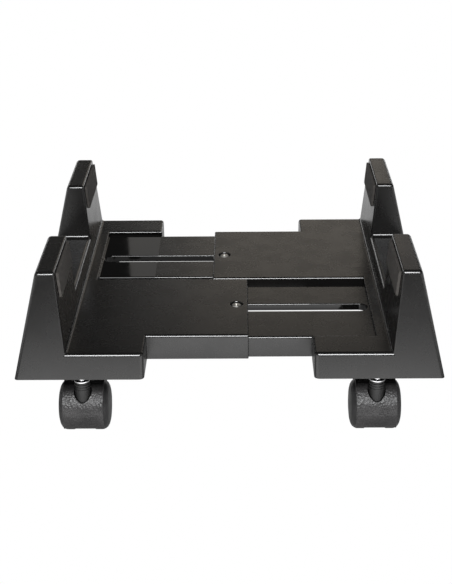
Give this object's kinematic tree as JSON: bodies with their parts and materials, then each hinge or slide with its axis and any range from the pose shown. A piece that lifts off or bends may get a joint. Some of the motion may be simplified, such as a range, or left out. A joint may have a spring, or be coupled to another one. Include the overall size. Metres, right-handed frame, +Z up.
{
  "type": "computer case stand",
  "caption": "Rolling stand for a desktop computer case: two sliding plastic halves with tapered uprights, clamped by screws, on swivel casters.",
  "frame": {"origin": "on the floor, under the middle of the stand", "axes": "+Z up, +X towards the right half and along the width adjustment, -Y towards the front"},
  "size_m": [0.2984, 0.2652, 0.1286],
  "materials": {
    "shell_plastic": "satin-gloss black moulded plastic",
    "caster_plastic": "grained black nylon",
    "foam": "matte black foam",
    "knob_plastic": "matte black plastic",
    "plated_steel": "bright plated",
    "zinc_steel": "zinc plated"
  },
  "bodies": {
    "left_base": {"left_base_shell": "shell_plastic", "left_front_pad": "foam", "left_rear_pad": "foam", "front_clamp_screw": "zinc_steel", "front_clamp_washer": "zinc_steel", "left_front_caster_stem": "plated_steel", "left_front_caster_grip_ring": "zinc_steel", "left_rear_caster_stem": "plated_steel", "left_rear_caster_grip_ring": "zinc_steel"},
    "right_base": {"right_base_shell": "shell_plastic", "right_front_pad": "foam", "right_rear_pad": "foam", "rear_clamp_screw": "zinc_steel", "rear_clamp_washer": "zinc_steel", "right_front_caster_stem": "plated_steel", "right_front_caster_grip_ring": "zinc_steel", "right_rear_caster_stem": "plated_steel", "right_rear_caster_grip_ring": "zinc_steel"},
    "left_front_caster_swivel_body": {"left_front_caster_hood": "caster_plastic", "left_front_caster_neck_ring": "plated_steel", "left_front_caster_axle": "zinc_steel"},
    "left_front_caster_left_wheel_body": {"left_front_caster_left_wheel": "caster_plastic"},
    "left_front_caster_right_wheel_body": {"left_front_caster_right_wheel": "caster_plastic"},
    "left_rear_caster_swivel_body": {"left_rear_caster_hood": "caster_plastic", "left_rear_caster_neck_ring": "plated_steel", "left_rear_caster_axle": "zinc_steel"},
    "left_rear_caster_left_wheel_body": {"left_rear_caster_left_wheel": "caster_plastic"},
    "left_rear_caster_right_wheel_body": {"left_rear_caster_right_wheel": "caster_plastic"},
    "right_front_caster_swivel_body": {"right_front_caster_hood": "caster_plastic", "right_front_caster_neck_ring": "plated_steel", "right_front_caster_axle": "zinc_steel"},
    "right_front_caster_left_wheel_body": {"right_front_caster_left_wheel": "caster_plastic"},
    "right_front_caster_right_wheel_body": {"right_front_caster_right_wheel": "caster_plastic"},
    "right_rear_caster_swivel_body": {"right_rear_caster_hood": "caster_plastic", "right_rear_caster_neck_ring": "plated_steel", "right_rear_caster_axle": "zinc_steel"},
    "right_rear_caster_left_wheel_body": {"right_rear_caster_left_wheel": "caster_plastic"},
    "right_rear_caster_right_wheel_body": {"right_rear_caster_right_wheel": "caster_plastic"},
    "front_wing_nut_body": {"front_wing_nut": "knob_plastic", "front_wing_nut_insert": "zinc_steel"},
    "rear_wing_nut_body": {"rear_wing_nut": "knob_plastic", "rear_wing_nut_insert": "zinc_steel"}
  },
  "joints": [
    {"name": "width_slide", "type": "slide", "parent": "left_base", "child": "right_base", "axis": [1, 0, 0], "range_m": [-0.09, 0.012]},
    {"name": "left_front_caster_swivel", "type": "hinge", "parent": "left_base", "child": "left_front_caster_swivel_body", "pos_m": [-0.1042, -0.117, 0.04], "axis": [0, 0, 1], "continuous": true},
    {"name": "left_front_caster_left_wheel_spin", "type": "hinge", "parent": "left_front_caster_swivel_body", "child": "left_front_caster_left_wheel_body", "pos_m": [-0.1042, -0.1066, 0.018], "axis": [1, 0, 0], "continuous": true},
    {"name": "left_front_caster_right_wheel_spin", "type": "hinge", "parent": "left_front_caster_swivel_body", "child": "left_front_caster_right_wheel_body", "pos_m": [-0.1042, -0.1066, 0.018], "axis": [1, 0, 0], "continuous": true},
    {"name": "left_rear_caster_swivel", "type": "hinge", "parent": "left_base", "child": "left_rear_caster_swivel_body", "pos_m": [-0.1042, 0.117, 0.04], "axis": [0, 0, 1], "continuous": true},
    {"name": "left_rear_caster_left_wheel_spin", "type": "hinge", "parent": "left_rear_caster_swivel_body", "child": "left_rear_caster_left_wheel_body", "pos_m": [-0.1042, 0.1066, 0.018], "axis": [1, 0, 0], "continuous": true},
    {"name": "left_rear_caster_right_wheel_spin", "type": "hinge", "parent": "left_rear_caster_swivel_body", "child": "left_rear_caster_right_wheel_body", "pos_m": [-0.1042, 0.1066, 0.018], "axis": [1, 0, 0], "continuous": true},
    {"name": "right_front_caster_swivel", "type": "hinge", "parent": "right_base", "child": "right_front_caster_swivel_body", "pos_m": [0.1042, -0.117, 0.04], "axis": [0, 0, 1], "continuous": true},
    {"name": "right_front_caster_left_wheel_spin", "type": "hinge", "parent": "right_front_caster_swivel_body", "child": "right_front_caster_left_wheel_body", "pos_m": [0.1042, -0.1066, 0.018], "axis": [1, 0, 0], "continuous": true},
    {"name": "right_front_caster_right_wheel_spin", "type": "hinge", "parent": "right_front_caster_swivel_body", "child": "right_front_caster_right_wheel_body", "pos_m": [0.1042, -0.1066, 0.018], "axis": [1, 0, 0], "continuous": true},
    {"name": "right_rear_caster_swivel", "type": "hinge", "parent": "right_base", "child": "right_rear_caster_swivel_body", "pos_m": [0.1042, 0.117, 0.04], "axis": [0, 0, 1], "continuous": true},
    {"name": "right_rear_caster_left_wheel_spin", "type": "hinge", "parent": "right_rear_caster_swivel_body", "child": "right_rear_caster_left_wheel_body", "pos_m": [0.1042, 0.1066, 0.018], "axis": [1, 0, 0], "continuous": true},
    {"name": "right_rear_caster_right_wheel_spin", "type": "hinge", "parent": "right_rear_caster_swivel_body", "child": "right_rear_caster_right_wheel_body", "pos_m": [0.1042, 0.1066, 0.018], "axis": [1, 0, 0], "continuous": true},
    {"name": "front_wing_nut_turn", "type": "hinge", "parent": "left_base", "child": "front_wing_nut_body", "pos_m": [0.005, -0.0484, 0.055], "axis": [0, 0, 1], "continuous": true},
    {"name": "rear_wing_nut_turn", "type": "hinge", "parent": "right_base", "child": "rear_wing_nut_body", "pos_m": [-0.005, 0.0484, 0.055], "axis": [0, 0, 1], "continuous": true}
  ]
}
